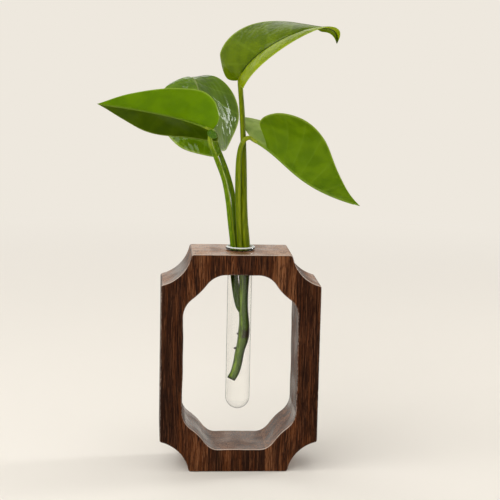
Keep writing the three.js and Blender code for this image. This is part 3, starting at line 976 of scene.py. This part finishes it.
class Rib:
    """A leaf's middle rib, a cubic curve, with the directions that the blade is built on."""

    def __init__(self, name):
        strand = STRANDS[name]
        base = petiole_route(name)[-1]
        self.corners = np.vstack((base, base + np.array(strand["rib"]) * strand["span"]))
        self.sideways = np.array(strand["across"])
        self.speed = 3 * np.linalg.norm(self.corners[1] - self.corners[0])

    def point(self, share):
        a, b, c, d = self.corners
        t = np.asarray(share, float)[..., None]
        return (1 - t) ** 3 * a + 3 * (1 - t) ** 2 * t * b + 3 * (1 - t) * t**2 * c + t**3 * d

    def forward(self, share):
        a, b, c, d = self.corners
        t = np.asarray(share, float)[..., None]
        return unit((1 - t) ** 2 * (b - a) + 2 * (1 - t) * t * (c - b) + t**2 * (d - c))

    def across(self, share):
        forward = self.forward(share)
        return unit(self.sideways - dot(self.sideways, forward) * forward)

    def up(self, share):
        return np.cross(self.across(share), self.forward(share))


def relief(strand, edge, out, reach):
    """How far the blade stands up: pillowed between its side veins, sunk at the rib, waving at
    the margin."""
    between = np.abs(np.sin(pi * strand["veins"] * edge))
    pillow = (between**0.7 - 0.6) * np.sin(pi * np.minimum(out * 1.05, 1)) ** 0.7
    wave = np.sin(2 * pi * MARGIN_WAVES * edge + 1.3) * out**3
    fade = np.sin(pi * edge) ** 0.4
    groove = -RIB_GROOVE * bell(reach / RIB_GROOVE_WIDTH)
    return (strand["relief"] * pillow + MARGIN_WAVE * wave + groove) * fade


def half_blade(strand, rib, key):
    """Half of a blade as a thin closed sheet, with veins in relief and a waving margin."""
    width, tilts, lobe, start, curl = strand[key]
    side = 1 if key == "plus" else -1
    edge = np.linspace(0, 1, BLADE_ROWS + 1)[:, None]
    out = np.linspace(0, 1, BLADE_COLUMNS + 1)[None, :]
    flat = spline(CLOSED_OUTLINE if strand is STRANDS["rear"] else HALF_OUTLINE, edge[:, 0])
    along = np.where(flat[:, 0] < 0, flat[:, 0] * lobe, flat[:, 0])[:, None]
    foot = start + (1 - start) * edge**VEIN_SLANT
    place = foot * (1 - out) + (start + (1 - start) * along) * out
    on_rib = np.clip(place, 0, 1)
    wide = np.maximum(flat[:, 1:], 0) * out
    reach = wide * width
    forward, across, up = rib.forward(on_rib), rib.across(on_rib), rib.up(on_rib)
    base_tilt, tip_tilt = np.radians(tilts)
    tilt = (base_tilt + (tip_tilt - base_tilt) * on_rib)[..., None]
    outward = across * side * np.cos(tilt) + up * np.sin(tilt)
    normal = np.cross(outward, forward) * side
    middle = rib.point(on_rib) + rib.forward(0.0) * (np.minimum(place, 0) * rib.speed)[..., None]
    middle += outward * reach[..., None]
    rise = relief(strand, edge, out, reach) - curl * wide * reach
    middle += normal * rise[..., None]
    facing = sheet_normals(middle, normal)
    thin = BLADE_THICKNESS / 2 * (1 - 0.55 * out**8) * np.minimum(1, 0.45 + 6 * wide)
    offset = facing * thin[..., None]
    return sheet(middle + offset, middle - offset, edge, out, reach, key == "plus")


def sheet_normals(middle, normal):
    """The true normals of a grid of points, on the side of the given directions."""
    found = np.cross(np.gradient(middle, axis=1), np.gradient(middle, axis=0))
    lengths = np.linalg.norm(found, axis=-1, keepdims=True)
    found = np.where(lengths > 1e-12, found / np.maximum(lengths, 1e-12), normal)
    found = np.where(dot(found, normal) < 0, -found, found)
    found[0], found[-1] = normal[0], normal[-1]
    return found


def sheet(upper, lower, edge, out, reach, plus):
    """A closed sheet from its two faces, with the values that its material reads."""
    rows, columns = upper.shape[:2]
    index = np.arange(rows * columns).reshape(rows, columns)
    below = index + rows * columns
    faces = []
    for i in range(rows - 1):
        for j in range(columns - 1):
            faces.append((index[i, j], index[i, j + 1], index[i + 1, j + 1], index[i + 1, j]))
            faces.append((below[i + 1, j], below[i + 1, j + 1], below[i, j + 1], below[i, j]))
        for j in (0, columns - 1):
            faces.append((index[i, j], index[i + 1, j], below[i + 1, j], below[i, j]))
    grid = np.ones((rows, columns))
    return shape(
        np.vstack((upper.reshape(-1, 3), lower.reshape(-1, 3))),
        faces,
        vein=np.tile((edge * grid).ravel(), 2),
        out=np.tile((out * grid).ravel(), 2),
        from_rib=np.tile((reach * grid).ravel() / MM, 2),
        upper=np.repeat((1.0, 0.0), rows * columns),
        plus=float(plus),
    )


def add_leaf(name):
    strand = STRANDS[name]
    rib = Rib(name)
    shares = np.linspace(0, 0.97, 60)
    radii = RIB_RADIUS * profile_at((1.1, 0.65, 0.45, 0.25), shares)
    route = rib.point(shares) - rib.up(shares) * (radii + BLADE_THICKNESS / 10)[:, None]
    ridge = limb(route, radii, rib.up(0.0), 14, ridge=1.0)
    shapes = [half_blade(strand, rib, key) for key in ("plus", "minus")] + [ridge]
    if name == "left":
        roll = smooth_route(rib.point(0.0) + np.array(ROLLED_LOBE), 24)
        girth = MM * profile_at((0.5, 2.0, 2.3, 1.9, 0.5), np.linspace(0, 1, 24))
        shapes.append(limb(roll, girth, (0, 0, 1), 20, upper=1.0, from_rib=9.0, vein=0.55))
    skin = leaf_skin(name)
    add_piece("vine_leaf_" + name, shapes, 70, skin, "cutting", "leaf_" + name, "plant_leaf")


def add_stalk(name):
    """A leaf stalk with a shallow groove and a thicker joint, its top hidden in the leaf's rib
    and its foot in the stem."""
    radius = STRANDS[name]["radius"]
    rib = Rib(name)
    route = petiole_route(name)
    if name == "left":
        route[:2, 0] += LEFT_FOOT_SHIFT
        in_stem = at(0.8 * STEM_SIDE, 0, route[0, 2] - RIM_Z - NODE_MERGE)
    else:
        in_stem = at(STEM_SIDE, 0, -NODE_DEPTH - NODE_MERGE)
        in_stem[:2] += 0.3 * (route[0] - in_stem)[:2]
    route = np.vstack((in_stem, route))
    under_base = route[-1] - rib.up(0.0) * 0.5 * RIB_RADIUS
    in_rib = [rib.point(share) - rib.up(share) * 0.9 * RIB_RADIUS for share in (0.03, 0.07)]
    path = smooth_route(np.vstack((route[:-1], under_base, in_rib)), 150)
    shares = np.linspace(0, 1, len(path))
    joint = JOINT_SWELLING * bell((shares - JOINT_PLACE) / JOINT_REACH)
    radii = radius * (profile_at((STRAND_NECK, 1, 0.97, 0.9, 0.84, 0.78, 0.5), shares) + joint)
    radii *= 1 - FOOT_NARROWING * bell((path[:, 2] - in_stem[2]) / FOOT_REACH)
    if name in STALK_SWELLS:
        height, reach, wider, sideways = np.array(STALK_SWELLS[name]) * MM
        near = bell((path[:, 2] - RIM_Z - height) / reach)
        radii += wider * near
        path[:, 0] += sideways * near
    shapes = [limb(path, radii, STALK_LOOKS[name][2], 28, grooved=STALK_GROOVE)]
    skin = stalk_skin(name)
    add_piece("vine_stalk_" + name, shapes, 60, skin, "cutting", "petiole_" + name, "plant_stem")


def add_stem():
    first = at(STEM_SIDE, 0, -NODE_DEPTH - PLANT_GAP)
    below = [at(*(np.array(place) * STEM_DEPTH)) for place in STEM_ROUTE]
    route = smooth_route([first, *below], 170)
    swollen = STEM_RADIUS + NODE_SWELLING
    knots = [swollen] + [STEM_RADIUS] * 3 + [swollen, STEM_RADIUS] + [STEM_END_RADIUS] * 2
    radii = profile_at(knots, np.linspace(0, 1, len(route)))
    # Its top narrows between the stalks.
    up = np.linspace(NODE_MERGE, 0, 12)[:-1]
    route = np.vstack((first + np.column_stack((0 * up, 0 * up, up)), route))
    radii = np.concatenate((swollen * (1 - 0.9 * (up / NODE_MERGE) ** 2), radii))
    limbs = [limb(route, radii, (-0.8, -1, 0), 32, flute=STEM_FLUTE)]
    for side, depth in ROOT_PLACES:
        root = at(side * STEM_DEPTH, 0, depth * STEM_DEPTH)
        end = root + 0.5 * np.array((-ROOT_LENGTH, 0, -ROOT_LENGTH / 4))
        taper = ROOT_RADIUS * np.array((1, 1, 1, 0.95, 0.8, 0.45))
        limbs.append(limb(evenly(np.array([root, end]), 6), taper, (0, -1, 0), 12, root=1.0))
    add_piece("vine_stem_wet", limbs, 50, stem_skin(), "cutting", "vine_stem", "plant_stem")


# Materials

def walnut(name, seed, warm_between, warmth):
    """Dark walnut with upright grain: broad tones, fibres, fine dark streaks, open pores and a
    satin clear coat. Its level faces are painted paler with a warm reflection over their end grain,
    and its eased edges have pale flecks and a painted highlight where they face up. Its stretch
    between these two places along X is lighter by warmth."""
    mat = new_material(name)
    place = mat.place()
    moved = mat.vector("ADD", place, seed)
    bends = mat.vector("MULTIPLY", moved, (25.0, 25.0, 14.0))
    bend = mat.add("TexNoise", output="Color", Vector=bends, Scale=1.0, Detail=1.0)
    shift = mat.vector("MULTIPLY_ADD", bend, (5 * MM, 5 * MM, 0), (-2.5 * MM, -2.5 * MM, 0))
    grain = mat.vector("ADD", moved, shift)
    tones = mat.marks(grain, 5 * MM, 120 * MM, 2)
    fibres = mat.marks(grain, 0.9 * MM, 40 * MM, 4, 0.7)
    streaks = mat.marks(grain, 0.6 * MM, 18 * MM, 2, 0.6)
    fine = mat.marks(mat.vector("ADD", grain, (0.7, 0.4, 0.1)), 0.6 * MM, 20 * MM, 1)
    pores = mat.marks(grain, 0.28 * MM, 4 * MM)
    rise, fall = ((edge - WARM_BLUR, edge + WARM_BLUR) for edge in warm_between)
    warm = mat.times(mat.band(mat.axis(place, "X"), rise, fall), warmth)
    contrast = mat.scaled(warm, 0.4, 0.6)
    share = mat.scaled(fibres, 0.5, mat.times(tones, 0.5))
    share = mat.scaled(mat.math("SUBTRACT", share, 0.5), contrast, 0.485)
    share = mat.scaled(warm, 0.08, share)
    wood = mat.ramp(
        share, (0.36, WOOD_DARKEST), (0.46, WOOD_DARK), (0.55, WOOD_MID), (0.68, WOOD_PALE)
    )
    pale_lines = mat.times(mat.spread(fine, 0.55, 0.63), 0.45)
    wood = mat.mix(mat.times(pale_lines, contrast), wood, WOOD_PALE)

    # level faces, which cut across the grain: end grain painted paler with a warm reflection, most
    # of all those high up
    turned_up = mat.axis(mat.add("NewGeometry", output="Normal"), "Z")
    reflection_high_up = mat.spread(mat.axis(place, "Z"), 50 * MM, 120 * MM, 0.4, 0.92)
    level = mat.times(mat.spread(turned_up, 0.75, 0.98), reflection_high_up)
    end_share = mat.scaled(mat.math("SUBTRACT", fine, 0.5), 0.5, share)
    end_grain_and_reflection = mat.ramp(end_share, (0.38, END_GRAIN_AND_REFLECTION_DARK), (0.5, END_GRAIN_AND_REFLECTION_MID), (0.62, END_GRAIN_AND_REFLECTION_PALE))
    wood = mat.mix(level, wood, end_grain_and_reflection)

    dark_streaks = mat.spread(streaks, 0.5, 0.58, 0.0, 0.75)
    dark_streaks = mat.times(dark_streaks, mat.scaled(level, -0.5, 1.0))
    wood = mat.mix(dark_streaks, wood, WOOD_DARKEST)
    open_pores = mat.spread(pores, 0.58, 0.68)
    wood = mat.mix(mat.times(open_pores, 0.8), wood, WOOD_PORE)
    # the eased edges: pale flecks of real rubbing, plus a painted highlight where they face up
    flecks = mat.spread(mat.marks(moved, 0.4 * MM, 2.2 * MM), 0.5, 0.6, 0.03, 0.3)
    worn_and_lit = mat.math("ADD", flecks, mat.spread(turned_up, 0.2, 0.6, 0.0, 0.75))
    wood = mat.mix(mat.times(mat.field("wear"), worn_and_lit), wood, WOOD_WORN_AND_HIGHLIGHT)

    # the coat, thinner where it is rubbed and where it would mirror the pale room
    facing = mat.facing()
    coat = mat.spread(facing, 0.3, 0.8, 0.08, 1.0)
    coat = mat.times(coat, mat.spread(facing, 0.84, 0.9, 1.0, 0.35))
    rubbing = mat.spread(mat.marks(place, 20 * MM, 20 * MM), 0.4, 0.56, 0.62, 1.0)
    coat = mat.math("MAXIMUM", mat.times(coat, rubbing), mat.times(mat.field("wear"), 0.8))
    height = mat.math("SUBTRACT", mat.times(fibres, 0.6), open_pores)
    paint = mat.add(
        "BsdfPrincipled",
        Base_Color=wood,
        Roughness=mat.spread(fibres, 0.3, 0.7, 0.4, 0.6),
        IOR=1.02,
        Coat_Weight=coat,
        Coat_Roughness=0.21,
        Coat_IOR=1.4,
        Normal=mat.bump(0.4, 0.04 * MM, height),
        Coat_Normal=mat.bump(1.0, 0.3 * MM, mat.marks(place, 8 * MM, 8 * MM)),
    )
    return mat.finish(paint)


def lamps_pass(mat, surface, tint):
    """The surface, but lamps shine straight through it, so that what is inside is lit."""
    shadow = mat.add("LightPath", output="Is Shadow Ray")
    return mat.choose(shadow, surface, mat.add("BsdfTransparent", Color=tint))


def clear_glass():
    """Clear glass with painted shade where it is seen edge on, and a lip with a painted highlight
    above and painted shade below.
    """
    mat = new_material("tube_glass")
    facing = mat.facing()
    smears = mat.marks(mat.place(), 5 * MM, 14 * MM, 3)
    # the glass's colour is painted darker where it is seen edge on
    glass = mat.add(
        "BsdfPrincipled",
        Base_Color=mat.mix(mat.spread(facing, 0.64, 0.9), GLASS_CLEAR, GLASS_EDGE_SHADE),
        Roughness=mat.spread(smears, 0.5, 0.7, 0.0, 0.015),
        IOR=1.5,
        Specular_Tint=GLASS_GLINT,
        Transmission_Weight=1.0,
    )
    height = mat.axis(mat.place(), "Z")
    # painted shade: a dark band at the lip's underside, and more painted shade where the glass is
    # seen edge on
    rise, fall = (SEAT_Z - 2 * MM, SEAT_Z - 1 * MM), (SEAT_Z + 0.3 * MM, SEAT_Z + 1 * MM)
    foot = mat.times(mat.band(height, rise, fall), 0.8)
    dark = mat.math("MAXIMUM", foot, mat.spread(facing, 0.7, 0.88, 0.0, 0.85))
    glass = mat.choose(dark, glass, mat.add("BsdfDiffuse", Color=GLASS_PAINTED_SHADE))
    # painted highlight: the lip's top is mixed towards white
    bead = mat.spread(height, SEAT_Z + 1.3 * MM, RIM_Z - 0.35 * MM, 0.0, 0.8)
    glass = mat.choose(bead, glass, mat.add("BsdfDiffuse", Color=LIP_PAINTED_HIGHLIGHT))
    return mat.finish(lamps_pass(mat, glass, GLASS_TINT))


def clear_water():
    mat = new_material("tube_water")
    ripples = mat.marks(mat.place(), 3 * MM, 3 * MM)
    water = mat.add(
        "BsdfPrincipled",
        Base_Color=WATER_CLEAR,
        Roughness=0.0,
        IOR=1.333,
        Specular_Tint=GLASS_GLINT,
        Transmission_Weight=1.0,
        Normal=mat.bump(0.02, 0.05 * MM, ripples),
    )
    return mat.finish(lamps_pass(mat, water, WATER_TINT))


def leaf_skin(name):
    """Glossy above and matt below, with side veins, a pale margin, a rib that is pale but on the
    top leaf a painted shade in its crease, tints of the halves that paint light and shade on some
    leaves, and light through.
    """
    top_colour_and_sheen, under_colour, through, vein_share, gloss_share, *rest = LEAF_LOOKS[name]
    creases, rib_colour_and_crease_shade, plus, minus = rest
    mat = new_material("leaf_" + name)
    place = mat.place()
    upper = mat.field("upper")
    mottle = mat.marks(place, 9 * MM, 9 * MM, 3)
    cells = mat.marks(place, 0.7 * MM, 0.7 * MM, 2)
    from_vein = mat.math("PINGPONG", mat.times(mat.field("vein"), STRANDS[name]["veins"]), 0.5)
    vein = mat.spread(from_vein, 0.0, 0.1, 1.0, 0.0)
    near_rib = mat.spread(mat.field("from_rib"), 0.3, 0.9, 1.0, 0.0)
    rib = mat.math("MAXIMUM", near_rib, mat.field("ridge"))
    margin = mat.spread(mat.field("out"), 0.955, 0.985)
    # tints of the halves: on the left leaf painted shade on the plus half and painted light on the
    # minus half, on the top leaf painted light on the plus half
    tint = mat.mix(mat.field("plus"), (*minus, 1.0), (*plus, 1.0))
    skin = mat.vector("MULTIPLY", mat.mix(upper, under_colour, top_colour_and_sheen), tint)
    skin = mat.mix(mat.spread(mottle, 0.4, 0.62), mat.vector("MULTIPLY", skin, LEAF_MOTTLE), skin)
    skin = mat.mix(mat.times(vein, vein_share), skin, LEAF_VEIN)
    # the rib's colour, which on the top leaf is a painted shade in its crease
    skin = mat.mix(mat.times(rib, 0.6 + vein_share), skin, rib_colour_and_crease_shade)
    skin = mat.mix(mat.times(margin, 0.65), skin, LEAF_MARGIN)
    raised = mat.times(vein, mat.spread(upper, 0, 1, 1.0, -1.0))
    turned = mat.add("VectorRotate", {"rotation_type": "Y_AXIS"}, Vector=place, Angle=FOLD_SLANT)
    folded = mat.bump(1.0, creases * MM, mat.marks(turned, 2.4 * MM, 14 * MM, 0))
    gloss = mat.add(
        "BsdfPrincipled",
        Base_Color=skin,
        Roughness=mat.spread(upper, 0, 1, 0.5, 0.36),
        IOR=1.1,
        Coat_Weight=mat.spread(upper, 0, 1, 0.15, gloss_share),
        Coat_Roughness=0.1,
        Coat_IOR=1.44,
        Normal=mat.bump(0.5, 0.12 * MM, mat.scaled(cells, 0.5, raised), Normal=folded),
        Coat_Normal=folded,
    )
    passing = mat.vector("MULTIPLY", mat.mix(rib, through, rib_colour_and_crease_shade), tint)
    glow = mat.add("BsdfTranslucent", Color=passing)
    return mat.finish(mat.choose(LEAF_GLOW, gloss, glow))


def stalk_skin(name):
    """A stalk with fine streaks, a painted highlight line along its groove and a paler joint at the
    leaf.
    """
    colour, pale, _ = STALK_LOOKS[name]
    mat = new_material("stalk_" + name)
    place = mat.place()
    streaks = mat.marks(place, 0.6 * MM, 9 * MM, 3)
    # painted highlight: a paler line along the side that faces the front, over the groove
    line = mat.spread(mat.field("around"), 0.03, 0.1, 0.45, 0.0)
    joint = mat.spread(mat.field("upward"), 0.84, 0.93, 0.0, 0.5)
    skin = mat.mix(mat.math("MAXIMUM", line, joint), colour, pale)
    darker = mat.vector("MULTIPLY", skin, STALK_STREAK)
    skin = mat.mix(mat.spread(streaks, 0.36, 0.6), darker, skin)
    wet = mat.spread(mat.axis(place, "Z"), RIM_Z - 20 * MM, RIM_Z - 6 * MM, 0.75, 0.0)
    skin = mat.mix(wet, skin, STALK_WET)
    paint = mat.add(
        "BsdfPrincipled",
        Base_Color=skin,
        Roughness=mat.spread(streaks, 0.3, 0.7, 0.32, 0.46),
        IOR=1.1,
        Coat_Weight=0.15,
        Coat_Roughness=0.15,
        Normal=mat.bump(0.4, 0.08 * MM, streaks),
    )
    return mat.finish(paint)


def stem_skin():
    """The wet stem: streaked green, with a painted highlight stripe on its front left, painted
    shade on the side turned away, a dark ring at its node and a dark cut end.
    """
    mat = new_material("wet_stem")
    place = mat.place()
    streaks = mat.marks(place, 0.7 * MM, 12 * MM, 3)
    spots = mat.marks(place, 1.1 * MM, 2.2 * MM, 3)
    around = mat.field("around")
    # a painted highlight stripe on the side that faces front left, and painted shade on the side
    # turned away
    highlight_stripe = mat.spread(around, 0.03, 0.1, 1.0, 0.15)
    pale = mat.times(mat.spread(streaks, 0.35, 0.6), highlight_stripe)
    skin = mat.mix(pale, STEM_GREEN, STEM_PAINTED_HIGHLIGHT)
    skin = mat.mix(mat.spread(around, 0.14, 0.3, 0.0, 0.65), skin, STEM_PAINTED_SHADE)
    uneven = mat.scaled(spots, 7 * MM, mat.axis(place, "Z"))
    sideways = mat.scaled(spots, 3 * MM, mat.axis(place, "X"))
    on_right = mat.spread(sideways, 2 * MM, 4 * MM, 0.25, 1.0)
    ring = mat.times(mat.band(uneven, SCAR_BELOW, SCAR_ABOVE), on_right)
    ring = mat.math("MAXIMUM", mat.times(ring, 0.9), mat.field("root"))
    skin = mat.mix(ring, skin, STEM_SCAR)
    skin = mat.mix(mat.spread(mat.field("upward"), 0.975, 0.995), skin, STEM_CUT)
    paint = mat.add(
        "BsdfPrincipled",
        Base_Color=skin,
        Roughness=mat.spread(spots, 0.3, 0.7, 0.3, 0.5),
        Normal=mat.bump(0.5, 0.15 * MM, spots),
    )
    return mat.finish(paint)


bpy.context.scene.view_settings.view_transform = "Standard"
add_camera()
add_stage()
add_world()
add_lamps()
add_frame()
add_tube()
add_water()
add_stem()
for strand_name in STRANDS:
    add_stalk(strand_name)
    add_leaf(strand_name)
